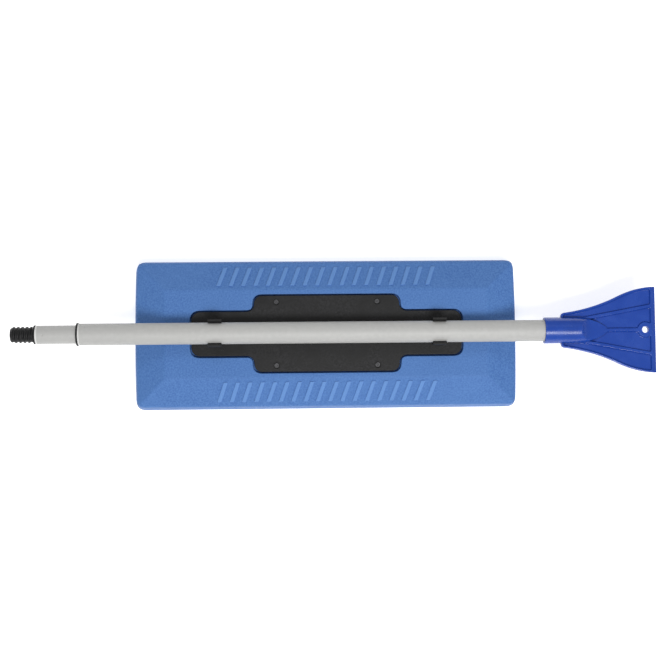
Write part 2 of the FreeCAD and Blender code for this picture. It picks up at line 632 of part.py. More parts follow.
def make_scraper():
    """The moulded ice scraper: a barrel over the outer tube that runs out in a pointed hood, and a
    ribbed blade with a chisel front and a hanging hole."""
    blade = new_body("blade_blank")
    plan = new_sketch(blade, "blade_plan", "XY_Plane")
    draw(plan, blade_corners("0", "blade_front"))
    feature(blade, "Pad", "blade_slab", plan, Length="blade_thickness", SideType="Symmetric")
    chisel = new_sketch(blade, "chisel_profiles", "XZ_Plane")
    for side in (1, -1):
        draw(chisel, [
            ("blade_front - chisel_length", f"{side} * blade_thickness / 2"),
            ("blade_front", f"{side} * chisel_edge / 2"),
            ("blade_front + overcut", f"{side} * chisel_edge / 2"),
            ("blade_front + overcut", f"{side} * (blade_thickness / 2 + overcut)"),
            ("blade_front - chisel_length", f"{side} * (blade_thickness / 2 + overcut)")])
    feature(blade, "Pocket", "chisel", chisel, Length="blade_width + 2 * overcut", SideType="Symmetric")

    barrel = new_body("barrel_blank")
    revolve(barrel, "barrel", [
        ("0", "0"), ("hood_tip + 2 * overcut", "0"), ("hood_tip + 2 * overcut", "barrel_diameter / 2"),
        ("mouth_round", "barrel_diameter / 2", "mouth_round", 1),
        ("0", "barrel_diameter / 2 - mouth_round")])
    arch = new_body("arch_prism")
    arch_plan = new_sketch(arch, "arch_plan", "XY_Plane")
    side = "(barrel_diameter / 2)"
    draw(arch_plan, [
        ("-overcut", f"-{side}"), ("arch_start", f"-{side}", "hood_round", 1),
        ("hood_tip", "0", "hood_round", 1), ("arch_start", side), ("-overcut", side)])
    across = "barrel_diameter + 2 * overcut"
    feature(arch, "Pad", "arch", arch_plan, Length=across, SideType="Symmetric")
    facets = new_body("facet_wedges")
    facet = new_sketch(facets, "facet_profile", "XZ_Plane")
    low = "blade_thickness / 2 - hood_foot_sink"
    past_tip = "hood_tip + 4 * overcut"
    draw(facet, [
        ("facet_start", "barrel_diameter / 2"), ("hood_tip", low), (past_tip, low),
        (past_tip, "barrel_diameter / 2 + overcut"),
        ("facet_start", "barrel_diameter / 2 + overcut")])
    feature(facets, "Pad", "upper_facet", facet, Length=across, SideType="Symmetric")
    below = doc.addObject("Part::Mirroring", "lower_facet")
    below.Source = facets
    below.Normal = Vector(0, 0, 1)
    hood = cut("hood", common("hood_blank", barrel, arch), facets, below)

    recess = new_body("recess_blank")
    recess_plan = new_sketch(recess, "recess_plan", "XY_Plane")
    draw(recess_plan, blade_corners("rim_width", "blade_front"))
    feature(recess, "Pad", "recess_slab", recess_plan, Length="blade_thickness + 2 * overcut",
            SideType="Symmetric")
    kept = [hood]
    kept.append(box("web", "0", "-blade_width", "-web_thickness / 2", "blade_front", "2 * blade_width",
                    "web_thickness"))
    kept.append(box("front_band", "blade_front - chisel_length - front_rim", "-blade_width",
                    "-blade_thickness", "blade_width", "2 * blade_width", "2 * blade_thickness"))
    kept.append(box("middle_rib", "facet_start", "-rib_width / 2", "-blade_thickness",
                    "hang_hole_place - facet_start", "rib_width", "2 * blade_thickness"))
    for side, name in ((1, "upper_rib"), (-1, "lower_rib")):
        rib = box(name, "0", "0", "-blade_thickness", "blade_width", "rib_width", "2 * blade_thickness")
        turn = f"({side} * rib_angle)"
        across = f"({side} * barrel_diameter / 2)"
        bind(rib, Placement__Rotation__Angle=turn,
             Placement__Base__x="side_rib_place - side_rib_start * cos(rib_angle)"
                                f" + rib_width / 2 * sin({turn})",
             Placement__Base__y=f"{across} - side_rib_start * sin({turn})"
                                " - rib_width / 2 * cos(rib_angle)")
        kept.append(rib)
    boss = doc.addObject("Part::Cylinder", "hang_boss")
    bind(boss, Radius="hang_boss_diameter / 2", Height="2 * blade_thickness",
         Placement__Base__x="hang_hole_place", Placement__Base__z="-blade_thickness")
    kept.append(boss)
    recesses = cut("recesses", recess, *kept)

    socket = cylinder("grip_bore", "outer_diameter / 2 + press_gap", "-1", "grip_depth + 1")
    hang_hole = doc.addObject("Part::Cylinder", "hang_hole")
    bind(hang_hole, Radius="hang_hole_diameter / 2", Height="4 * blade_thickness",
         Placement__Base__x="hang_hole_place", Placement__Base__z="-2 * blade_thickness")
    return cut("scraper", joined("scraper_blank", hood, blade), recesses, socket, hang_hole,
               scraper_screw_hole("barrel", "0"))


def lift(thing, left="0"):
    """Put a part that is modelled round the X axis on the pole's axis."""
    bind(thing, Placement__Base__x=left, Placement__Base__z="pole_height")
    return thing


def make_scraper_screw():
    """A screw from below through the scraper's barrel into the tube's wall."""
    screw = pan_screw("scraper_screw", "scraper_screw_head", "scraper_screw_head_height",
                      "scraper_screw_diameter", "barrel_diameter / 2 - outer_bore + scraper_screw_bite")
    screw.Placement.Rotation = Rotation(Vector(1, 0, 0), 180)
    bind(screw, Placement__Base__x="scraper_mouth + scraper_screw_place",
         Placement__Base__z="pole_height - barrel_diameter / 2")
    return screw


def main():
    core_plate = make_core_plate()
    parts = [core_plate, make_foam_head(core_plate), make_back_plate(), make_plate_screws()]
    whole_tube = make_tube("whole_outer_tube", "outer_diameter", "outer_bore", "outer_left",
                           "outer_length", "outer_dent_place", "outer_dent_angle")
    outer_tube = cut("outer_tube", whole_tube, scraper_screw_hole("tube", "scraper_mouth"))
    inner_tube = make_tube("inner_tube", "inner_diameter", "inner_bore", "inner_left", "inner_length",
                           "inner_dent_place", "inner_dent_angle")
    pole_parts = [outer_tube, inner_tube, make_collar(), make_threaded_tip()] + make_lock()
    parts += [lift(part) for part in pole_parts]
    parts.append(lift(make_scraper(), "scraper_mouth"))
    parts.append(make_scraper_screw())
    doc.recompute()

    for thing in doc.Objects:
        if "Invalid" in thing.State or "Error" in thing.State:
            raise ValueError(f"{thing.Label} did not recompute: {thing.State}")
    for part in parts:
        if part.Shape.isNull() or not part.Shape.isValid():
            raise ValueError(f"{part.Label} has no valid shape")
    os.makedirs("parts", exist_ok=True)
    for part in parts:
        part.Shape.exportStep(f"parts/{part.Label}.step")
        bounds = part.Shape.BoundBox
        print(f"{part.Label:14s} {len(part.Shape.Solids)} solid(s) {part.Shape.Volume / 1000:9.2f} cm3  "
              f"x {bounds.XMin:7.1f} {bounds.XMax:7.1f}  y {bounds.YMin:6.1f} {bounds.YMax:6.1f}  "
              f"z {bounds.ZMin:6.1f} {bounds.ZMax:6.1f}")


main()
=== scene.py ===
# %% [markdown]
# # A telescoping snow broom, with the surfaces that the eye sees
#
# The object lies on its foam working face. A light grey steel pole is snapped into a black plate on
# the foam's back, with a blue ice scraper on one end and a coarse threaded tip on the other. The
# engineering model already fixes every size and joint. This lesson adds what it leaves out: foam with
# a skin, moulded plastic, powder-coated tube. Everything is in metres, with +Z up.

import json
import math

import bpy
import numpy as np
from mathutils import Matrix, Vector


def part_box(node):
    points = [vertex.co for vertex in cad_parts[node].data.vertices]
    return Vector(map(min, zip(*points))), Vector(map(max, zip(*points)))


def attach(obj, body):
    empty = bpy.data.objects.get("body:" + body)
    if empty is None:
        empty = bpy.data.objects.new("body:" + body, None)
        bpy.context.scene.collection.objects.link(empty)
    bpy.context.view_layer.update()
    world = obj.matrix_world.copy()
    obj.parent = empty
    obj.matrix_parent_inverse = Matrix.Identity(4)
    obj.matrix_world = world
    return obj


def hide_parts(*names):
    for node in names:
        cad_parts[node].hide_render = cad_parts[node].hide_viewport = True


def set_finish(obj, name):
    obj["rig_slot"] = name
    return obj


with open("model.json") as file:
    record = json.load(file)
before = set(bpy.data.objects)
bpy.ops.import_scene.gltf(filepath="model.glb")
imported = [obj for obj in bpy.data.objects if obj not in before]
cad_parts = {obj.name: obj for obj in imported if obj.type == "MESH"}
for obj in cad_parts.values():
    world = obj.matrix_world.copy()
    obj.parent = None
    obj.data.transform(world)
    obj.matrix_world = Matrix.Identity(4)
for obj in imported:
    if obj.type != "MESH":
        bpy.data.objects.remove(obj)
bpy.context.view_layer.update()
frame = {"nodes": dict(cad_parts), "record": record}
MM = 0.001

# %% [markdown]
# ## Sizes from the frame
#
# The boxes of the engineering nodes give the main sizes, so the looks can't drift from the design.
# What a box can't tell, such as how round a foam edge is, is named once beside the piece it shapes.

# %% Sizes
def span(node, axis):
    """The lowest and highest coordinate of a node along one axis."""
    low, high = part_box(node)
    return low[axis], high[axis]


X, Y, Z = 0, 1, 2
board_half_x, board_half_y = span("foam_head", X)[1], span("foam_head", Y)[1]
plateau_z = span("foam_head", Z)[1]
plate_half_x, plate_half_y = span("back_plate", X)[1], span("back_plate", Y)[1]
tube_left = span("outer_tube", X)[0]
tube_radius = span("outer_tube", Y)[1]
axis_z = sum(span("outer_tube", Z)) / 2
print(f"pole axis at {axis_z / MM:.1f} mm, tube radius {tube_radius / MM:.2f} mm")

# %% [markdown]
# ## Tools for surfaces
#
# Every new piece is a stack of rows of points. A row runs round the piece, the stack runs along it,
# and neighbouring rows are joined by quads. That one idea covers a lathe-turned ring, a tube, a
# blade with a changing section and the whole foam block, so one function turns rows into a mesh.

# %% Rows into a mesh
SHARP_BEND = math.radians(40)


def shown(name, mesh, sharp_bend):
    """A mesh put in the scene as an object. It is shaded smooth, and stays sharp along edges where it
    bends by more than the angle."""
    mesh.shade_smooth()
    mesh.set_sharp_from_angle(angle=sharp_bend)
    piece = bpy.data.objects.new(name, mesh)
    bpy.context.scene.collection.objects.link(piece)
    return piece


def skin(name, rows, ring=False):
    """A closed mesh from an array of rows, (number of rows, points in a row, 3). Each row is a loop.
    The two end rows are closed by flat faces, or joined to each other when ring is true."""
    rows = np.asarray(rows, float)
    count, around = rows.shape[:2]
    number = np.arange(count * around).reshape(count, around)
    if ring:
        number = np.vstack([number, number[:1]])
    here, ahead = number[:-1], number[1:]
    quads = np.stack([here, np.roll(here, -1, 1), np.roll(ahead, -1, 1), ahead], -1)
    quads = quads.reshape(-1, 4)
    faces = quads.tolist()
    if not ring:
        faces += [number[0, ::-1].tolist(), number[-1].tolist()]
    mesh = bpy.data.meshes.new(name)
    mesh.from_pydata(rows.reshape(-1, 3), [], faces)
    if signed_volume(rows.reshape(-1, 3), quads) < 0:
        mesh.flip_normals()
    print(f"{name}: {len(faces)} faces")
    return shown(name, mesh, SHARP_BEND)


def signed_volume(points, quads):
    """The sum over quads of the volume of the pyramid from the points' middle: positive when the
    faces point outwards. The flat end faces are left out, which doesn't change the sign."""
    corner = (points - points.mean(0))[quads]
    one = np.einsum("ij,ij->i", corner[:, 0], np.cross(corner[:, 1], corner[:, 2]))
    two = np.einsum("ij,ij->i", corner[:, 0], np.cross(corner[:, 2], corner[:, 3]))
    return (one + two).sum() / 6


def smooth_step(value, low, high):
    """0 below low, 1 above high, and an S-shaped curve between: 3t^2 - 2t^3."""
    t = np.clip((value - low) / (high - low), 0, 1)
    return t * t * (3 - 2 * t)


def soft_min(a, b, width):
    """The smaller of two values, with the corner between them rounded over a width."""
    h = np.clip(0.5 + 0.5 * (b - a) / width, 0, 1)
    return b * (1 - h) + a * h - width * h * (1 - h)


def soft_max(a, b, width):
    """The larger of two values, with the corner between them filled over a width."""
    return -soft_min(-a, -b, width)


# %% A profile turned round the pole
CORNER_POINTS = 6


def turned(name, profile, segments, change=None, ring=False):
    """Points (x, radius) turned about the pole's axis. change(x, angle) is added to the radius."""
    profile = np.asarray(profile, float)
    angle = np.linspace(0, 2 * np.pi, segments, endpoint=False)[None, :]
    x = np.repeat(profile[:, :1], segments, 1)
    radius = np.repeat(profile[:, 1:], segments, 1)
    if change is not None:
        radius = radius + change(x, angle)
    rows = np.stack([x, radius * np.sin(angle), axis_z + radius * np.cos(angle)], -1)
    return skin(name, rows, ring)


def rounded_corner(before, corner, after, radius):
    """The points that round one corner of a profile. They lie on a quadratic curve that starts a
    radius before the corner and ends a radius after it: (1-t)^2 start + 2t(1-t) corner + t^2 end."""
    before, corner, after = (np.asarray(p, float) for p in (before, corner, after))
    start = corner + (before - corner) / np.linalg.norm(before - corner) * radius
    end = corner + (after - corner) / np.linalg.norm(after - corner) * radius
    t = np.linspace(0, 1, CORNER_POINTS)[:, None]
    return (1 - t) ** 2 * start + 2 * t * (1 - t) * corner + t ** 2 * end


def rounded_profile(corners, radii, closed=True):
    """A profile with each corner rounded by its own radius. An open one keeps its two end points."""
    corners = [np.asarray(corner, float) for corner in corners]
    count = len(corners)
    parts = []
    for number, radius in enumerate(radii):
        at_end = not closed and number in (0, count - 1)
        if radius == 0 or at_end:
            parts.append(corners[number][None, :])
        else:
            parts.append(rounded_corner(corners[number - 1], corners[number],
                                        corners[(number + 1) % count], radius))
    return np.vstack(parts)


# %% [markdown]
# ## Outlines in quarters
#
# The foam and its pocket are the same on all four sides, so an outline is drawn once, from the X
# axis to the Y axis, and mirrored. All outlines get the same number of points in each quarter, and
# that lets any two of them be joined point by point.

# %% Outlines
POINTS_PER_QUARTER = 220


def quarter(corners, radii):
    """One quarter of an outline, evenly spaced along its length, from (a, 0) to just before
    (0, b)."""
    line = rounded_profile(corners, radii, closed=False)
    length = np.concatenate([[0], np.cumsum(np.linalg.norm(np.diff(line, axis=0), axis=1))])
    wanted = np.linspace(0, length[-1], POINTS_PER_QUARTER, endpoint=False)
    return np.stack([np.interp(wanted, length, line[:, axis]) for axis in (X, Y)], -1)


def mirrored_loop(part, far_end):
    """The quarter and its three mirror images as one loop, counter-clockwise."""
    whole = np.vstack([part, [far_end]])
    second = (whole * [-1, 1])[::-1]
    half = np.vstack([whole[:-1], second[:-1]])
    return np.vstack([half, -half])


def grown(loop, amount):
    """The loop moved outwards along its own normals, the turned differences of its neighbours."""
    along = np.roll(loop, -1, 0) - np.roll(loop, 1, 0)
    normal = np.stack([along[:, 1], -along[:, 0]], -1)
    return loop + normal / np.linalg.norm(normal, axis=1, keepdims=True) * amount


def rectangle_loop(half_x, half_y, radius):
    """A rectangle with rounded corners as one loop, given by half its length and half its width."""
    corners = [(half_x, 0), (half_x, half_y), (0, half_y)]
    return mirrored_loop(quarter(corners, [0, radius, 0]), corners[-1])


plate_end_half_y = 26.15 * MM
plate_middle_half_x = 86 * MM
plate_end_round = 10 * MM
plate_step_round = 9 * MM
plate_corners = [(plate_half_x, 0), (plate_half_x, plate_end_half_y),
                 (plate_middle_half_x, plate_end_half_y), (plate_middle_half_x, plate_half_y),
                 (0, plate_half_y)]
plate_rounds = [0, plate_end_round, plate_step_round, plate_step_round, 0]
plate_loop = mirrored_loop(quarter(plate_corners, plate_rounds), plate_corners[-1])
print("outline points:", len(plate_loop))

# %% [markdown]
# ## The foam head
#
# The real head is closed-cell foam pressed in a hot mould. That gives it a thin skin with a fine
# leathery relief, edges a few millimetres round, and a pocket that hugs the plate with a dark gap.
# A subdivided box with bevels would lose the pocket's stepped outline. Here the block is one sheet
# of rows that starts under the socket, climbs the pocket, crosses the back, drops down the walls and
# closes under the working face, with the height of the back worked out at every point.

# %% Foam sizes
wall_top = 22 * MM
wall_draft = 3.3 * MM
end_slope = 33.8 * MM
side_slope = 33.35 * MM
foot_round = 11.5 * MM
foot_edge = 1.8 * MM
pocket_gap = 1.8 * MM
pocket_floor = 35.5 * MM
pocket_inset = 4 * MM
gutter_inset = 1.5 * MM
gutter_width = 1 * MM
gutter_depth = 5 * MM
gutter_round = 0.8 * MM
rim_round = 0.9 * MM
socket_hole = 12.3 * MM
socket_bottom = 9.2 * MM
foam_edge = 3.0 * MM
rise = plateau_z - wall_top
print(f"foam: wall {wall_top / MM:.1f} mm high, slopes that rise {rise / MM:.1f} mm more")


# %% Height of the foam's back
SLOPE_SOFTNESS = 0.7 * MM
WAVE_HEIGHT = 0.06 * MM
SHORT_WAVE_X, SHORT_WAVE_Y = 0.019, 0.014
LONG_WAVE_X, LONG_WAVE_Y = 0.041, 0.033


def back_height(x, y):
    """The lowest of three heights: the flat, the end slope and the side slope, with soft corners.
    A faint waviness from the foam's shrinkage is added: a product of two short sines and one long
    sine that runs aslant."""
    end = wall_top + (board_half_x - wall_draft - np.abs(x)) * rise / end_slope
    side = wall_top + (board_half_y - wall_draft - np.abs(y)) * rise / side_slope
    height = soft_min(soft_min(end, side, SLOPE_SOFTNESS), plateau_z, SLOPE_SOFTNESS)
    short_wave = np.sin(x / SHORT_WAVE_X + 1.3) * np.sin(y / SHORT_WAVE_Y + 0.4)
    long_wave = np.sin(x / LONG_WAVE_X - y / LONG_WAVE_Y)
    return height + WAVE_HEIGHT * (short_wave + long_wave)


middle_of_end = board_half_x - wall_draft - end_slope / 2
print(f"half way up the end slope: {back_height(middle_of_end, 0) / MM:.2f} mm")


# %% Foam rows
POCKET_SHARES = (0.4, 0.8, 1.0)
BACK_ROWS = 48
WALL_ROWS = 9
FACE_SHARES = (1, 0.8, 0.6, 0.4, 0.2, 0.03)
FACE_INSET = 1.5 * MM


def flat_row(loop, height):
    """A loop laid at one height."""
    return np.column_stack([loop, np.full(len(loop), height)])


def pocket_rows():
    """From the socket's hole along the pocket's floor, down into the gutter beside the plate, round
    its bottom, and up the pocket's wall to the rim. The round parts go with t^2 and (1-t)^2."""
    direction = np.linspace(0, 2 * np.pi, len(plate_loop), endpoint=False)
    circle = socket_hole * np.stack([np.cos(direction), np.sin(direction)], -1)
    rows = [flat_row(circle, socket_bottom), flat_row(circle, pocket_floor)]
    inside = grown(plate_loop, -pocket_inset)
    rows += [flat_row(circle + (inside - circle) * share, pocket_floor) for share in POCKET_SHARES]
    for t in np.linspace(0, 1, 4):
        rows.append(flat_row(grown(plate_loop, -gutter_inset + t * gutter_width),
                             pocket_floor - gutter_depth * t))
    for t in np.linspace(0, 1, 4):
        rows.append(flat_row(grown(plate_loop, pocket_gap - gutter_round * (1 - t) ** 2),
                             pocket_floor - gutter_depth + gutter_round * t ** 2))
    for t in np.linspace(0, 1, 6):
        rows.append(flat_row(grown(plate_loop, pocket_gap + rim_round * t ** 2),
                             plateau_z - rim_round * (1 - t) ** 2))
    return rows


def back_rows(waist):
    """From the pocket's rim to the start of the rounded edge, at the height of the foam's back."""
    inner = grown(plate_loop, pocket_gap + rim_round)
    outer = grown(waist, -foam_edge)
    rows = []
    for share in np.linspace(0, 1, BACK_ROWS)[1:]:
        place = inner + (outer - inner) * share
        rows.append(np.column_stack([place, back_height(place[:, 0], place[:, 1])]))
    return rows


def wall_rows(waist, edge_start):
    """Over the rounded edge, which is a quadratic curve round the corner of slope and wall, then down
    the drafted wall, round its foot and across the working face."""
    rows = []
    edge_corner = back_height(waist[:, 0], waist[:, 1])
    fall = wall_draft / wall_top
    for t in np.linspace(0, 1, 7)[1:]:
        out = -foam_edge * (1 - t) ** 2 + foam_edge * fall * t ** 2
        height = (1 - t) ** 2 * edge_start + 2 * t * (1 - t) * edge_corner
        height = height + t ** 2 * (wall_top - foam_edge)
        rows.append(np.column_stack([grown(waist, out), height]))
    for height in np.linspace(wall_top - foam_edge, foot_edge, WALL_ROWS)[1:]:
        rows.append(flat_row(grown(waist, (wall_top - height) * fall), height))
    for t in np.linspace(0, 1, 6)[1:]:
        out = wall_draft - foot_edge * fall * (1 - t) ** 2 - foot_edge * t ** 2
        rows.append(flat_row(grown(waist, out), foot_edge * (1 - t) ** 2))
    face = grown(waist, -FACE_INSET)
    return rows + [flat_row(face * share, 0) for share in FACE_SHARES]


def foam_rows():
    """All rows, from the socket's hole outwards over the back and down to the working face. The waist
    is the block's outline where the wall meets the slopes."""
    waist = grown(rectangle_loop(board_half_x, board_half_y, foot_round), -wall_draft)
    back = back_rows(waist)
    return pocket_rows() + back + wall_rows(waist, back[-1][:, 2])


# %% The block as it cools
END_BULGE = 1.6 * MM
END_FROM, END_TO = 190 * MM, 226 * MM
REAR_BULGE = 1.2 * MM
REAR_FROM, REAR_TO = 80.5 * MM, 86 * MM
FOOT_BLEND = 2 * MM


def cooled(rows):
    """The block as it cools out of the mould: the short ends bulge in the middle, by the share
    1 - (y / half width)^2, and the rear wall stands out a little."""
    rows = np.array(rows)
    x, y = rows[..., 0], rows[..., 1]
    near_end = smooth_step(np.abs(x), END_FROM, END_TO)
    bulge = END_BULGE * near_end * (1 - (y / board_half_y) ** 2)
    rear = REAR_BULGE * smooth_step(y, REAR_FROM, REAR_TO) * smooth_step(rows[..., 2], 0, FOOT_BLEND)
    rows[..., 0] = x + np.sign(x) * bulge
    rows[..., 1] = y + rear
    return rows


foam = skin("foam_block", cooled(foam_rows()))
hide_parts("foam_head")
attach(foam, "head")
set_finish(foam, "foam")

# %% [markdown]
# ## Raised bars
#
# Both long slopes carry a raised decoration, pressed into the skin by the mould. Here it is a plain
# row of slanted bars. Each bar is a small shell that starts inside the foam, so the block's own rows
# needn't be fine enough for it. The second row is the first one turned half a turn.

# %% Raised bars
BAR_PITCH = 14.6 * MM
BARS_IN_ROW = 18
BAR_HALF_WIDTH = 2.6 * MM
BAR_HALF_LENGTH = 11.6 * MM
BAR_MIDDLE = 68.6 * MM
BAR_LEAN = 0.36
BAR_RISE = 1.4 * MM
BAR_CORNER = 1.1 * MM
BAR_EDGE = 0.7 * MM
JOINED_SHARP_BEND = math.radians(32)
# Each level: the share of the half width that is drawn in, and the height above the slope.
BAR_LEVELS = [(0, -BAR_EDGE), (0, BAR_RISE - BAR_EDGE), (0.09, BAR_RISE - 0.3 * BAR_EDGE),
              (0.27, BAR_RISE), (0.6, BAR_RISE), (0.97, BAR_RISE)]


def bar_shell(name, middle_x, side):
    """A slanted bar on one slope: a rounded outline repeated at rising levels and drawn in, first to
    round the bar's edge and then to close its flat top. The side is 1 or -1."""
    corners = np.array([(1, -1), (1, 1), (-1, 1), (-1, -1)]) * [BAR_HALF_WIDTH, BAR_HALF_LENGTH]
    outline = rounded_profile(corners, [BAR_CORNER] * 4)
    rows = []
    for share, above in BAR_LEVELS:
        loop = outline * [1 - share, 1 - share * BAR_HALF_WIDTH / BAR_HALF_LENGTH]
        x = side * (middle_x + loop[:, 0] + BAR_LEAN * loop[:, 1])
        y = side * (BAR_MIDDLE + loop[:, 1])
        rows.append(np.column_stack([x, y, back_height(x, y) + above]))
    return skin(name, rows)


def joined(name, *pieces):
    """One object from several. Each keeps its own closed shell."""
    points, faces = [], []
    for piece in pieces:
        mesh, first = piece.data, len(points)
        points += [tuple(vertex.co) for vertex in mesh.vertices]
        faces += [[first + corner for corner in face.vertices] for face in mesh.polygons]
        bpy.data.objects.remove(piece)
    mesh = bpy.data.meshes.new(name)
    mesh.from_pydata(points, [], faces)
    return shown(name, mesh, JOINED_SHARP_BEND)


def marked(piece, name, values):
    """Writes one number for each point of the mesh, which a material can read by its name."""
    piece.data.attributes.new(name, "FLOAT", "POINT").data.foreach_set("value", values)


bar_places = (np.arange(BARS_IN_ROW) - (BARS_IN_ROW - 1) / 2) * BAR_PITCH
bars = joined("foam_raised_bars", *[bar_shell("bar", place, side)
                                    for side in (1, -1) for place in bar_places])
marked(bars, "raised", np.ones(len(bars.data.vertices)))
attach(bars, "head")
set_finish(bars, "foam")
print("bars:", len(bars.data.polygons), "faces")

# %% [markdown]
# ## The pole's tubes
#
# Both tubes are thin rolled steel with a powder coat. Beside the collar and the tip, a punch has
# pressed three small dents in the wall to hold the plastic inside. The dents are real shape, so the
# rows crowd together there and stay far apart where the tube is plain.

# %% Tubes
DENT_COUNT = 3
DENT_DEPTH = 0.7 * MM
DENT_RADIUS = 1.3 * MM
DENT_ROWS_HALF = 1.6 * MM
PLAIN_FROM_DENT = 2 * MM
TUBE_WALL = 0.8 * MM
# The rolled lip at a tube's end: along the tube, and down from its outside.
LIP_START = 0.5 * MM
LIP_CORNER = 0.15 * MM
LIP_DROP = 0.45 * MM
BARE_FROM, BARE_TO = 0.9 * MM, 1.3 * MM


def dents(place, radius, first_angle):
    """A function of (x, angle): a bowl, -depth (1 - (distance / dent radius)^2)^1.5, at equal angles
    round the tube."""
    def change(x, angle):
        """The distance is measured along the tube and round it; the angle is wrapped to half a turn."""
        total = 0
        for number in range(DENT_COUNT):
            turn = angle - math.radians(first_angle + 360 / DENT_COUNT * number)
            arc = radius * np.angle(np.exp(1j * turn))
            far = ((x - place) ** 2 + arc ** 2) / DENT_RADIUS ** 2
            total = total - DENT_DEPTH * np.clip(1 - far, 0, 1) ** 1.5
        return total
    return change


def tube(name, node, body, dent_offset, dent_angle):
    """A tube whose outside carries the dents, with a round bore. The attribute "bare" is 1 on the cut
    end, where the coating has worn off."""
    left, right = span(node, X)
    radius = span(node, Y)[1]
    bore = radius - TUBE_WALL
    place = left + dent_offset
    outside_x = np.concatenate(
        [np.linspace(left + LIP_START, place - PLAIN_FROM_DENT, 4),
         np.linspace(place - DENT_ROWS_HALF, place + DENT_ROWS_HALF, 17),
         np.linspace(place + PLAIN_FROM_DENT, right, 12)])
    outside = np.stack([outside_x, np.full_like(outside_x, radius)], -1)
    lip = [(left + LIP_CORNER, radius - LIP_CORNER), (left, radius - LIP_DROP), (left, bore)]
    profile = np.vstack([[(right, bore)], outside[::-1], lip])
    on_outside = profile[:, 1:] > bore + 0.3 * TUBE_WALL
    shallow = dents(place, radius, dent_angle)
    piece = turned(name, profile, 256, lambda x, angle: shallow(x, angle) * on_outside, ring=True)
    points = np.empty(len(piece.data.vertices) * 3)
    piece.data.vertices.foreach_get("co", points)
    marked(piece, "bare", 1 - smooth_step(points[::3], left + BARE_FROM, left + BARE_TO))
    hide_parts(node)
    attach(piece, body)
    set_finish(piece, "grey_paint")
    return piece


outer_tube = tube("outer_pole_tube", "outer_tube", "outer_pole", 7.7 * MM, 40)
inner_tube = tube("inner_pole_tube", "inner_tube", "inner_pole", 9.0 * MM, -6)

# %% [markdown]
# ## Collar
#
# The collar is a plain moulded bush with a rounded lip outside the outer tube and a sleeve inside it.
# It is turned from a profile, because every section through the axis is the same.

# %% Collar
collar_left, collar_right = span("collar_bush", X)
collar_radius = span("collar_bush", Y)[1]
inner_radius = span("inner_tube", Y)[1]
collar_bore = inner_radius + 0.08 * MM
tube_bore = tube_radius - TUBE_WALL
collar_rounds = [0.4 * MM, 0, 0, 0, 0.5 * MM, 0.8 * MM]
collar_profile = rounded_profile(
    [(collar_left, collar_bore), (collar_right, collar_bore), (collar_right, tube_bore),
     (tube_left, tube_bore), (tube_left, collar_radius), (collar_left, collar_radius)],
    collar_rounds)
collar = turned("pole_collar", collar_profile, 160, ring=True)
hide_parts("collar_bush")
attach(collar, "outer_pole")
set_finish(collar, "black_plastic")

# %% [markdown]
# ## Threaded tip
#
# The tip carries the coarse rounded thread of brooms, five turns to the inch. A thread is a radius
# that depends on both the place along the pole and the angle round it: the ridge moves one pitch
# along for each turn. So it is turned like the collar, with the ridge added to the radius.

# %% Threaded tip
THREAD_PITCH = 5.08 * MM
THREAD_DEPTH = 1.225 * MM
thread_major = 9.525 * MM
tip_left, tip_right = span("threaded_tip", X)
tip_flange_radius = span("threaded_tip", Y)[1]
flange_right = span("inner_tube", X)[0]
flange_left = flange_right - 2 * MM
thread_root = thread_major - THREAD_DEPTH
tip_bore = 5.5 * MM
tip_bore_depth = 2 * MM
plug_radius = inner_radius - 0.85 * MM
NOSE_ROUND, COVE_ROUND, RIM_ROUND = 1.3 * MM, 1.1 * MM, 0.6 * MM
THREAD_STEP = 0.22 * MM
CREST, ROOT = 0.18, 0.82


def ridge(x, angle):
    """The thread's height above its root: a soft-shouldered ridge that repeats each pitch and moves
    one pitch per turn, faded in at the tip and out before the flange."""
    phase = ((x - tip_left) / THREAD_PITCH - angle / (2 * np.pi)) % 1
    from_top = np.abs(phase - 0.5) * 2
    shape = 1 - smooth_step(from_top, CREST, ROOT)
    fade = smooth_step(x, tip_left + 0.8 * MM, tip_left + 3.4 * MM)
    fade = fade * (1 - smooth_step(x, flange_left - 2.2 * MM, flange_left - 0.6 * MM))
    return THREAD_DEPTH * shape * fade


def tip_profile():
    """From the bore in the end face round the nose, along the thread's root, up a cove to the flange
    and down to the plug inside the tube."""
    end_face = [(tip_left + tip_bore_depth, 0.2 * MM), (tip_left + tip_bore_depth, tip_bore),
                (tip_left, tip_bore)]
    nose = rounded_corner((tip_left, 0), (tip_left, thread_root - 0.4 * MM),
                          (tip_left + 2 * MM, thread_root), NOSE_ROUND)
    body_x = np.arange(tip_left + 1.6 * MM, flange_left - 1.2 * MM, THREAD_STEP)
    body = np.stack([body_x, np.full_like(body_x, thread_root)], -1)
    cove = rounded_corner((tip_left, thread_root), (flange_left, thread_root),
                          (flange_left, tip_flange_radius), COVE_ROUND)
    rim = rounded_corner((flange_left, thread_root), (flange_left, tip_flange_radius),
                         (flange_right, tip_flange_radius), RIM_ROUND)
    rest = [(flange_right, tip_flange_radius), (flange_right, plug_radius), (tip_right, plug_radius)]
    return np.vstack([end_face, nose, body, cove, rim, rest])


def thread_only(x, angle):
    """The ridge where the profile is the thread's root, and nothing on the end's bore or the plug."""
    radius = tip_rows[:, 1:]
    on_root = (radius < thread_major) & (radius > tip_bore + 0.5 * MM) & (x < flange_left)
    return ridge(x, angle) * on_root


tip_rows = tip_profile()
tip = turned("pole_thread", tip_rows, 144, thread_only)
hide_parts("threaded_tip")
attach(tip, "inner_pole")
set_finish(tip, "black_plastic")

# %% [markdown]
# ## Thread in the socket
#
# The socket in the middle of the back plate has the matching thread, moulded with the plate. A ridge
# with the same pitch is carried down the bore, as a small section swept along a helix. That needs no
# cut in the plate, which stays as the engineering model has it.

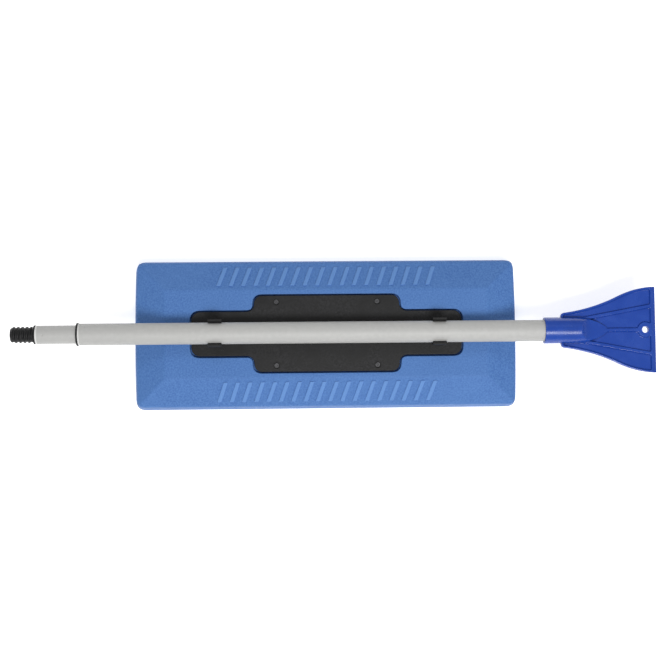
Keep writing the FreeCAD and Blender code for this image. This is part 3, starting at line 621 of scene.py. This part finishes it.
# %% Thread ridge in the socket
ROWS_PER_TURN = 56
FADES_PER_TURN = 5
# The ridge's section: millimetres up and down the bore, and the share of the depth towards the axis.
RIDGE_ACROSS = np.array([[-1.5, -0.7, 0.7, 1.5, 0.0]]) * MM
RIDGE_INWARD = np.array([[-0.3, 1.0, 1.0, -0.3, -0.6]])


def helix_ridge(name, centre_z, length, radius, depth):
    """Rows along a helix: each row is a five-cornered bump, its foot in the wall and its top towards
    the axis. The angle grows by one turn for each pitch of height, and the bump fades at both
    ends."""
    turns = length / THREAD_PITCH
    share = np.linspace(0, 1, int(turns * ROWS_PER_TURN))[:, None]
    angle = share * turns * 2 * np.pi
    fade = np.clip(np.minimum(share, 1 - share) * turns * FADES_PER_TURN, 0.05, 1)
    across = RIDGE_ACROSS * fade
    reach = radius - RIDGE_INWARD * depth * fade
    rows = np.stack([reach * np.cos(angle), reach * np.sin(angle),
                     centre_z - length / 2 + share * length + across], -1)
    return skin(name, rows)


socket_middle = (pocket_floor + socket_bottom) / 2 + 1.5 * MM
socket_ridge = helix_ridge("socket_thread", socket_middle, length=17 * MM,
                           radius=thread_major + 0.1 * MM, depth=0.9 * MM)
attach(socket_ridge, "head")
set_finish(socket_ridge, "black_plastic")

# %% [markdown]
# ## The ice scraper
#
# One injection moulding in glossy blue polypropylene. Its blade is a thin web with a raised rim and
# ribs, and its barrel runs out over the blade as a pointed hood that a scooped facet cuts down.
# Sculpting it or joining solids would need many small fillets. As a height over the blade's plan,
# every fillet comes from a soft minimum or maximum, as a mould-maker's ball cutter leaves it. The
# section at each station along X is a closed loop: over the top, round the edge and back underneath.

# %% Scraper sizes
mouth_x, blade_front = span("scraper", X)
blade_half_y = span("scraper", Y)[1]
barrel_radius = (span("scraper", Z)[1] - span("scraper", Z)[0]) / 2
shoulder_x = mouth_x + 19.8 * MM
shoulder_round = 5.0 * MM
shoulder_half = barrel_radius + 5.3 * MM
flare_x = mouth_x + 88 * MM
flare_end_x = mouth_x + 130.7 * MM
flare_half = shoulder_half + 0.637 * (blade_half_y - shoulder_half)
arch_x = mouth_x + 38.0 * MM
facet_x = mouth_x + 42.5 * MM
hood_tip_x = mouth_x + 77.5 * MM
arch_radius = 58 * MM
hollow_radius = 205 * MM
full_radius = 108 * MM
hole_x = mouth_x + 120.1 * MM
hole_radius = 4 * MM
boss_radius = 8.5 * MM
rim_half_height = 3.5 * MM
web_half_height = 1.1 * MM
chisel_length = 5.2 * MM
chisel_half = 0.45 * MM
rib_half = 1.4 * MM
rib_slope = math.radians(10.5)
rib_x = mouth_x + 58.2 * MM
rim_width = 2.0 * MM
front_margin = 0.6 * MM
back_margin = 2.4 * MM
FAR_AWAY = 1.0
relief_slope = 1.2 * MM
relief_round = 2.2 * MM
scoop_low = rim_half_height - 0.6 * MM
scoop_high = barrel_radius + 0.4 * MM
edge_round = 0.7 * MM
edge_width = 0.9 * MM
print(f"scraper: {(blade_front - mouth_x) / MM:.1f} mm long, {2 * blade_half_y / MM:.1f} mm wide")


# %% Scraper outline and relief
def on_arc(x, start, end, radius, turn):
    """The height at x of a circle's arc from start to end; turn is 1 where it bulges up."""
    chord = np.subtract(end, start)
    length = np.hypot(*chord)
    side = np.array([chord[1], -chord[0]]) / length * turn
    centre = np.add(start, end) / 2 + side * math.sqrt(radius ** 2 - (length / 2) ** 2)
    return centre[1] + turn * np.sqrt(np.clip(radius ** 2 - (x - centre[0]) ** 2, 0, None))


def blade_half(x):
    """Half the blade's width: a rounded shoulder, a hollow flare, a full flare, then straight."""
    start = (shoulder_x + shoulder_round, shoulder_half)
    middle, end = (flare_x, flare_half), (flare_end_x, blade_half_y)
    corner = np.sqrt(np.clip(shoulder_round ** 2 - (start[0] - x) ** 2, 0, None))
    hollow = on_arc(x, start, middle, hollow_radius, -1)
    full = on_arc(x, middle, end, full_radius, 1)
    return np.select([x < start[0], x < middle[0], x < end[0]],
                     [shoulder_half - shoulder_round + corner, hollow, full], blade_half_y)


def hood_half(x):
    """Half the hood's width: the barrel's radius up to the arch's start, then a pointed arch."""
    arch = on_arc(np.clip(x, arch_x, hood_tip_x), (arch_x, barrel_radius), (hood_tip_x, 0.0),
                  arch_radius, 1)
    return np.where(x < arch_x, barrel_radius, np.clip(arch, 0, None)) * (x < hood_tip_x)


def recess(x, y):
    """0 on the rim, ribs and boss, 1 in the panels between: the distance to the nearest raised
    feature, with the inner corners rounded by soft minimums. The middle rib ends at the hole."""
    y = np.abs(y)
    slope = np.gradient(blade_half(x[:, 0]), x[:, 0])[:, None]
    edge = (blade_half(x) - y) / np.hypot(1, slope) - rim_width
    front = blade_front - chisel_length - front_margin - x
    middle = np.where(x < hole_x, y, FAR_AWAY) - rib_half
    side_line = y - barrel_radius - (x - rib_x) * math.tan(rib_slope)
    side = np.abs(side_line) * math.cos(rib_slope) - rib_half
    boss = np.hypot(x - hole_x, y) - boss_radius
    back = x - shoulder_x - back_margin
    distance = edge
    for other in (front, middle, side, boss, back):
        distance = soft_min(distance, other, relief_round)
    return smooth_step(distance, 0, relief_slope)


def scraper_height(x, y):
    """Half the scraper's thickness at each place of its plan. The blade is the rim's height less the
    recess, then a straight chisel. The hood is the lower of a round vault, r sqrt(1 - (y / half
    width)^2), and a scoop that falls along its length. The higher of blade and hood counts."""
    blade = rim_half_height - (rim_half_height - web_half_height) * recess(x, y)
    bevel = (x - (blade_front - chisel_length)) / chisel_length
    blade = soft_min(blade, rim_half_height + (chisel_half - rim_half_height) * bevel, 0.3 * MM)
    width = np.clip(hood_half(x), 1e-6, None)
    vault = barrel_radius * np.sqrt(np.clip(1 - (y / width) ** 2, 0, None))
    left = np.clip((hood_tip_x - x) / (hood_tip_x - facet_x), 0, None)
    scoop = scoop_low + (scoop_high - scoop_low) * (0.35 * left + 0.65 * left ** 5)
    hood = soft_min(vault, scoop, 0.6 * MM) * (x < hood_tip_x)
    return soft_max(blade, hood, 1.0 * MM)


for name, x in (("flare", flare_x), ("hole", hole_x), ("front", blade_front)):
    print(f"half width at the {name}: {float(blade_half(np.array(x))) / MM:.1f} mm")


# %% Scraper blade
# How many columns lie between the anchor lines, from the middle to the edge.
COLUMN_COUNTS = [4, 7, 12, 10, 10, 6, 4, 6, 10, 6, 5]
HOLE_STATIONS_FROM = 11 * MM
RELIEF_WALL = 1.6 * MM
LEAST_GAP = 0.1 * MM
LINE_SPREAD = 0.012


def columns_between(anchors, counts):
    """Columns spread between neighbouring anchor lines, crowded towards both by a cosine."""
    parts = []
    for low, high, count in zip(anchors[:-1], anchors[1:], counts):
        share = (1 - np.cos(np.linspace(0, np.pi, count, endpoint=False))) / 2
        parts.append(low[:, None] + (high - low)[:, None] * share[None, :])
    return np.hstack(parts + [anchors[-1][:, None]])


def scraper_rows():
    """Sections at stations along X. The points across follow anchor lines along the ribs, the hood's
    foot and the rim, so that their walls run along the mesh and not in stairs across it. Each line
    stays outside the one before and inside the edge."""
    near_front = blade_front - chisel_length - 4 * MM
    before_hole = hole_x - HOLE_STATIONS_FROM
    stations = np.concatenate([np.linspace(shoulder_x, shoulder_x + shoulder_round, 12)[:-1],
                               np.linspace(shoulder_x + shoulder_round, before_hole, 120)[:-1],
                               np.linspace(before_hole, near_front, 40)[:-1],
                               np.linspace(near_front, blade_front, 34)])
    edge = blade_half(stations)
    rib = barrel_radius + (stations - rib_x) * math.tan(rib_slope)
    rib_across = rib_half / math.cos(rib_slope)
    towards_boss = (stations - hood_tip_x) / (hole_x - hood_tip_x) * (boss_radius - RELIEF_WALL)
    foot = np.maximum(hood_half(stations), towards_boss)
    lines = [np.full_like(edge, rib_half), np.full_like(edge, rib_half + 2 * MM), foot,
             foot + 2.6 * MM, rib - rib_across - RELIEF_WALL, rib - rib_across,
             rib + rib_across, rib + rib_across + RELIEF_WALL, edge - 4.2 * MM, edge - 1.8 * MM, edge]
    anchors = [np.zeros_like(edge)]
    for number, line in enumerate(lines, start=1):
        lowest = anchors[-1] + LEAST_GAP
        highest = edge * (1 - LINE_SPREAD * (len(lines) - number))
        anchors.append(np.clip(line, lowest, np.maximum(highest, lowest)))
    anchors[-1] = edge
    right = columns_between(anchors, COLUMN_COUNTS)
    y = np.hstack([-right[:, :0:-1], right])
    x = np.repeat(stations[:, None], y.shape[1], 1)
    height = scraper_height(x, y)
    taken = np.minimum(edge_round, height[:, :1] * 0.8)
    inset = np.clip((edge[:, None] - np.abs(y)) / edge_width, 0, 1)
    height = height - taken * (1 - np.sqrt(np.clip(1 - (1 - inset) ** 2, 0, 1)))
    top = np.stack([x, y, axis_z + height], -1)
    under = np.stack([x, y, axis_z - height], -1)[:, ::-1]
    print("scraper section:", top.shape)
    return np.concatenate([top, under], 1)


blade = skin("scraper_blade", scraper_rows())

# %% [markdown]
# ## The scraper's barrel
#
# The barrel is the round socket that the pole is pressed into. It runs from a mouth with rounded lips
# to the place where the hood's arch begins. It only has to meet the blade's own hood, so it is turned
# as a ring with an open bore.

# %% Scraper barrel
BARREL_POINTS = 60
MOUTH_ROUND = 0.9 * MM
LIP_ROUND = 0.5 * MM
bore_radius = tube_radius + 0.02 * MM
barrel_corners = [(arch_x, bore_radius), (arch_x, barrel_radius), (mouth_x, barrel_radius),
                  (mouth_x, bore_radius)]
barrel_profile = rounded_profile(barrel_corners, [0, 0, MOUTH_ROUND, LIP_ROUND])
barrel_x = np.linspace(arch_x, mouth_x + 3 * MM, BARREL_POINTS)
outside = np.stack([barrel_x, np.full(BARREL_POINTS, barrel_radius)], -1)
barrel_line = np.vstack([barrel_profile[:1], outside, barrel_profile[2:]])
barrel = turned("scraper_barrel", barrel_line, 192, ring=True)

# %% [markdown]
# ## The hang hole
#
# A hole near the blade's front lets the broom hang on a nail. The blade is a height field, which
# can't have a hole in it, so the hole is cut afterwards with a round cutter.

# %% Hang hole
def bored(piece, x, radius, half_height):
    """Cuts a round hole at x on the pole's line through the piece, straight along Z, by an exact
    boolean."""
    angle = np.linspace(0, 2 * np.pi, 64, endpoint=False)
    circle = np.stack([x + radius * np.cos(angle), radius * np.sin(angle)], -1)
    cutter = skin("hole_cutter", [flat_row(circle, axis_z - half_height),
                                  flat_row(circle, axis_z + half_height)])
    step = piece.modifiers.new("hang hole", "BOOLEAN")
    step.operation, step.object, step.solver = "DIFFERENCE", cutter, "EXACT"
    shaped = bpy.context.evaluated_depsgraph_get()
    mesh = bpy.data.meshes.new_from_object(piece.evaluated_get(shaped))
    piece.modifiers.clear()
    piece.data = mesh
    bpy.data.objects.remove(cutter)


bored(blade, hole_x, hole_radius, 2 * rim_half_height)
scraper = joined("ice_scraper", blade, barrel)
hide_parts("scraper")
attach(scraper, "outer_pole")
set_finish(scraper, "blue_plastic")
print("scraper:", len(scraper.data.polygons), "faces")

# %% [markdown]
# ## Materials
#
# Each material is one function's worth of nodes: a base colour, a wide soft variation, a fine grain
# that bends the light, and a roughness that changes from place to place. Pattern sizes are given in
# real millimetres and turned into the texture's scale, so that a grain is as coarse as on the real
# part.

# %% Material tools
MIX_FIRST, MIX_SECOND, MIX_RESULT = 6, 7, 2
SHADER_SAMPLES = 6


def linear(code):
    """A six-digit sRGB colour as linear RGBA: c / 12.92 near black, and above that
    ((c + 0.055) / 1.055)^2.4."""
    values = np.array([int(code[i:i + 2], 16) for i in (0, 2, 4)]) / 255
    low = values / 12.92
    high = ((values + 0.055) / 1.055) ** 2.4
    return (*np.where(values <= 0.04045, low, high).tolist(), 1.0)


def feed(tree, node, values):
    """Sets inputs of a node, found by name or place: another node's socket is linked, and a number or
    a colour is written on the input itself."""
    for key, value in values.items():
        if isinstance(value, bpy.types.NodeSocket):
            tree.links.new(value, node.inputs[key])
        else:
            node.inputs[key].default_value = value


def add(tree, kind, inputs=None, **settings):
    """A new shader node. Settings are its properties. Inputs are numbers, colours or other
    sockets."""
    node = tree.nodes.new("ShaderNode" + kind)
    for key, value in settings.items():
        setattr(node, key, value)
    feed(tree, node, inputs or {})
    return node


def noise(tree, place, size, detail=2.0, roughness=0.5, **more):
    """Noise with lumps of the given size in metres: one lump spans about one unit of texture
    space."""
    made = add(tree, "TexNoise", {"Vector": place, "Scale": 1 / size, "Detail": detail,
                                  "Roughness": roughness, **more})
    return made.outputs["Fac"]


def between(tree, share, low, high, from_low=0.35, from_high=0.65):
    """A value from low to high as share goes across the middle of a noise's range."""
    made = add(tree, "MapRange", {"Value": share, "From Min": from_low, "From Max": from_high,
                                  "To Min": low, "To Max": high})
    return made.outputs["Result"]


def mixed(tree, share, first, second, blend="MIX"):
    """Two colours mixed by share. A Mix node has sockets of the same name for numbers and colours,
    so the colour ones are found by their place."""
    made = add(tree, "Mix", {"Factor": share, MIX_FIRST: first, MIX_SECOND: second},
               data_type="RGBA", blend_type=blend)
    return made.outputs[MIX_RESULT]


def bump(tree, height, distance, strength=1.0, normal=None):
    """A normal bent by a height from 0 to 1 that stands for the given distance in metres."""
    inputs = {"Height": height, "Distance": distance, "Strength": strength}
    if normal is not None:
        inputs["Normal"] = normal
    return add(tree, "Bump", inputs).outputs["Normal"]


def start(name):
    """A new material: its node tree, its surface shader and its place in the object's own space."""
    material = bpy.data.materials.new(name)
    material.use_nodes = True
    tree = material.node_tree
    place = add(tree, "TexCoord").outputs["Object"]
    return material, tree, tree.nodes["Principled BSDF"], place


def worn_edges(tree, radius):
    """Where a surface bends sharply within the radius: 1 on the edges, 0 on the flats. It is the dot
    product of the true normal with one rounded over the radius, taken from 0.98 down to 0.80."""
    rounded = add(tree, "Bevel", {"Radius": radius}, samples=SHADER_SAMPLES).outputs["Normal"]
    true = add(tree, "NewGeometry").outputs["Normal"]
    dot = add(tree, "VectorMath", {0: rounded, 1: true}, operation="DOT_PRODUCT")
    return between(tree, dot.outputs["Value"], 0.0, 1.0, 0.98, 0.80)


# %% [markdown]
# ### Foam
#
# The skin of moulded foam is dull and leathery, and where the mould's pattern stands proud it is
# paler. The raised bars are marked in their mesh, so one material serves the block and the bars.

# %% Foam skin
def foam_skin():
    """Blue closed-cell foam: a dull skin, leathery relief about two millimetres across with finer
    pores in it, slow changes of shade where the skin is thicker, and paler raised bars."""
    material, tree, shader, place = start("Foam, moulded EVA skin")
    shade = between(tree, noise(tree, place, 55 * MM, 2.0), 0, 1)
    mottle = between(tree, noise(tree, place, 1.9 * MM, 3.0), 0, 1)
    raised = add(tree, "Attribute", attribute_name="raised").outputs["Fac"]
    base = mixed(tree, shade, linear("416AA9"), linear("4770AE"))
    base = mixed(tree, mottle, base, linear("547EBA"))
    base = mixed(tree, raised, base, linear("608AC6"))
    grain = noise(tree, place, 1.7 * MM, 3.0, 0.6)
    pores = add(tree, "TexVoronoi", {"Vector": place, "Scale": 1 / (1.1 * MM)}).outputs["Distance"]
    relief = bump(tree, grain, 0.3 * MM, 0.9)
    relief = bump(tree, pores, 0.05 * MM, 0.6, relief)
    feed(tree, shader, {"Base Color": base, "Normal": relief, "IOR": 1.45,
                        "Specular IOR Level": 0.3, "Sheen Weight": 0.05, "Sheen Roughness": 0.5,
                        "Roughness": between(tree, mottle, 0.55, 0.68, 0, 1)})
    return material


# %% [markdown]
# ### Plastics
#
# The plate, the scraper, the tip and the lock are all injection mouldings. They differ in colour, in
# gloss and in how coarse the mould's texture is, so one function makes them all. Shade is painted
# into the grooves, where ambient occlusion finds them.

# %% Moulded plastics
FLOW_SIZE = 30 * MM
EDGE_RADIUS = 0.5 * MM
GROOVE_WIDTH = 3 * MM


def moulded(name, dark, light, rough, grain_size, grain_depth, edge, groove=0.8, subsurface=0.0,
            gloss=0.5):
    """Injection-moulded plastic: two close shades in slow flow lines, broken by fine flecks, a
    spark-eroded texture from the mould, slightly polished edges, painted shade that darkens grooves
    by the groove factor, and roughness that drifts over the part."""
    material, tree, shader, place = start(name)
    drift = between(tree, noise(tree, place, FLOW_SIZE, 2.0, 0.5, Distortion=0.6), 0, 1)
    rubbed = worn_edges(tree, EDGE_RADIUS)
    fleck = between(tree, noise(tree, place, 1.5 * grain_size, 2.0), 0, 1)
    base = mixed(tree, fleck, linear(dark), mixed(tree, drift, linear(dark), linear(light)))
    base = mixed(tree, rubbed, base, linear(edge))
    # Painted shade: ambient occlusion darkens the base colour in grooves and recesses, multiplied in
    # below.
    occlusion = add(tree, "AmbientOcclusion", {"Distance": GROOVE_WIDTH}, samples=SHADER_SAMPLES)
    painted_groove_shade = between(tree, occlusion.outputs["AO"], groove, 1.0, 0.35, 0.8)
    grey = add(tree, "CombineColor", {"Red": painted_groove_shade, "Green": painted_groove_shade, "Blue": painted_groove_shade})
    base = mixed(tree, 1.0, base, grey.outputs["Color"], "MULTIPLY")
    grain = noise(tree, place, grain_size, 2.0, 0.55)
    feed(tree, shader, {"Base Color": base, "Normal": bump(tree, grain, grain_depth, 0.7),
                        "Roughness": between(tree, drift, *rough, 0, 1), "IOR": 1.49,
                        "Specular IOR Level": gloss, "Subsurface Weight": subsurface,
                        "Subsurface Radius": (2 * MM, 2 * MM, 4 * MM)})
    return material


# %% [markdown]
# ### Steel
#
# The tubes are powder-coated, and the screws are phosphated. Sliding in use leaves long marks, so
# the tubes' noise is stretched along the pole.

# %% Powder-coated steel
STRETCH = (0.06, 1.0, 1.0)


def powder_coat():
    """Light grey powder coat: an orange-peel skin of slow bumps with fine grains on it, slow changes
    of shade, and brighter streaks and scratches along the pole. The tubes' cut ends are bare."""
    material, tree, shader, place = start("Steel tube, grey powder coat")
    stretched = add(tree, "Mapping", {"Vector": place, "Scale": STRETCH}).outputs["Vector"]
    streak = between(tree, noise(tree, stretched, 2.2 * MM, 3.0), 0, 1)
    base = mixed(tree, streak, linear("B4B4B2"), linear("B9B9B7"))
    scratch = between(tree, noise(tree, stretched, 0.5 * MM, 2.0), 0, 0.5, 0.68, 0.8)
    base = mixed(tree, scratch, base, linear("C4C4C2"))
    speck = between(tree, noise(tree, place, 5 * MM, 3.0), 0, 1)
    base = mixed(tree, speck, base, linear("B3B3B1"))
    bare = add(tree, "Attribute", attribute_name="bare").outputs["Fac"]
    base = mixed(tree, bare, base, linear("F2F2F0"))
    peel = bump(tree, noise(tree, place, 3.2 * MM, 1.0), 0.03 * MM, 0.6)
    fine = bump(tree, noise(tree, place, 0.5 * MM, 2.0), 0.012 * MM, 0.6, peel)
    feed(tree, shader, {"Base Color": base, "Normal": fine, "IOR": 1.5, "Metallic": 0.12,
                        "Roughness": between(tree, streak, 0.56, 0.66, 0, 1)})
    return material


# %% Dark steel
def dark_steel(name, light, dark, rough):
    """Phosphated steel: a dull metal in two dark shades, with fine random marks."""
    material, tree, shader, place = start(name)
    stain = between(tree, noise(tree, place, 1.6 * MM, 3.0), 0, 1)
    marks = noise(tree, place, 0.25 * MM, 2.0)
    feed(tree, shader, {"Base Color": mixed(tree, stain, linear(light), linear(dark)),
                        "Metallic": 1.0, "Roughness": between(tree, stain, *rough, 0, 1),
                        "Normal": bump(tree, marks, 0.01 * MM, 0.5)})
    return material


# %% One material for each slot
MATERIALS = {
    "foam": foam_skin(),
    "black_plastic": moulded("Polypropylene, black moulded", "101011", "242426", (0.46, 0.6),
                             1.4 * MM, 0.2 * MM, "29292B", gloss=0.35),
    "core_plastic": moulded("Polypropylene, glass-filled natural moulded", "8F8F8A", "9C9C96",
                            (0.45, 0.6), 0.5 * MM, 0.02 * MM, "A8A8A2"),
    "blue_plastic": moulded("Polypropylene, glossy blue moulded", "19419D", "1D49A8", (0.2, 0.32),
                            0.6 * MM, 0.008 * MM, "2C50AE", groove=0.5, subsurface=0.04),
    "lock_plastic": moulded("Acetal, natural moulded", "C9C6BC", "D4D1C8", (0.35, 0.5),
                            0.5 * MM, 0.01 * MM, "DEDCD4"),
    "grey_paint": powder_coat(),
    "screw_steel": dark_steel("Screw steel, black phosphate", "606062", "4A4A4C", (0.4, 0.6)),
}

# %% [markdown]
# Every piece takes the material of its slot: a node of the engineering model the slot in the record,
# a new piece the slot set on it.

# %% Give each piece its material
slot_of = {part["node"]: part["material_slot"] for part in frame["record"]["subparts"]}
for node, piece in frame["nodes"].items():
    piece.data.materials.clear()
    piece.data.materials.append(MATERIALS[slot_of[node]])
for piece in (foam, bars, outer_tube, inner_tube, collar, tip, socket_ridge, scraper):
    piece.data.materials.append(MATERIALS[piece["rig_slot"]])
print({name: material.name for name, material in MATERIALS.items()})

# %% [markdown]
# ## Studio
#
# The broom lies on a white sweep under two large soft boxes. The stronger one stands in front, so
# that the shadows fall to the back, and the glowing floor and the white world keep them faint.

# %% Floor and world
scene = bpy.context.scene
scene.view_settings.view_transform = "Standard"


def studio_floor():
    """A matte white sweep with a barely visible grain. Its underside is clear, so that the broom can
    be looked at from below."""
    material, tree, shader, place = start("Paper, matte white sweep")
    fleck = between(tree, noise(tree, place, 4 * MM, 3.0), 0, 1)
    feed(tree, shader, {"Base Color": mixed(tree, fleck, linear("F9F9F9"), linear("FCFCFC")),
                        "Emission Color": linear("FFFFFF"), "Emission Strength": 0.55,
                        "Roughness": 0.9, "Normal": bump(tree, fleck, 0.02 * MM, 0.3)})
    behind = add(tree, "NewGeometry").outputs["Backfacing"]
    clear = add(tree, "BsdfTransparent").outputs["BSDF"]
    seen = add(tree, "MixShader", {"Fac": behind, 1: shader.outputs["BSDF"], 2: clear})
    feed(tree, tree.nodes["Material Output"], {"Surface": seen.outputs["Shader"]})
    return material


# The sweep reaches past the horizon of a low view. It lies just below the foam's face, because two
# faces in one plane would flicker.
floor_half = 30.0
floor_z = -0.5 * MM
floor_corners = [(-1, -1), (1, -1), (1, 1), (-1, 1)]
floor_mesh = bpy.data.meshes.new("sweep")
floor_mesh.from_pydata([(x * floor_half, y * floor_half, floor_z) for x, y in floor_corners],
                       [], [(0, 1, 2, 3)])
floor = bpy.data.objects.new("sweep", floor_mesh)
floor.data.materials.append(studio_floor())
scene.collection.objects.link(floor)

world = bpy.data.worlds.new("Studio")
world.use_nodes = True
feed(world.node_tree, world.node_tree.nodes["Background"], {"Color": (1, 1, 1, 1), "Strength": 0.38})
scene.world = world
print(f"sweep {2 * floor_half:.0f} m wide, {floor_z / MM:.1f} mm high")


# %% Lights
def soft_box(name, place, size, power, aim=(0, 0, 0.03)):
    """A rectangular lamp at a place, turned so that its -Z axis points at the aim."""
    lamp = bpy.data.lights.new(name, "AREA")
    lamp.shape, lamp.size, lamp.size_y, lamp.energy = "RECTANGLE", *size, power
    box = bpy.data.objects.new(name, lamp)
    box.location = place
    box.rotation_euler = Vector(np.subtract(aim, place)).to_track_quat("-Z", "Y").to_euler()
    scene.collection.objects.link(box)
    return box


for box in (soft_box("key", (0.25, -0.85, 1.75), (1.0, 0.6), 27),
            soft_box("fill", (-0.2, 1.1, 1.6), (1.4, 0.5), 5)):
    print(f"{box.name}: {box.data.energy:.0f} W, {box.location.length:.2f} m away")

# %% Camera
lens = bpy.data.cameras.new("camera")
lens.sensor_width, lens.lens = 36.0, 71.07
lens.dof.use_dof = False
camera = bpy.data.objects.new("camera", lens)
camera.location = (-0.0462, -0.0933, 1.600)
camera.rotation_euler = (0.0586, -0.0350, -0.0108)
scene.collection.objects.link(camera)
scene.camera = camera
print(f"camera {camera.location.z:.2f} m above the floor, lens {lens.lens:.0f} mm")
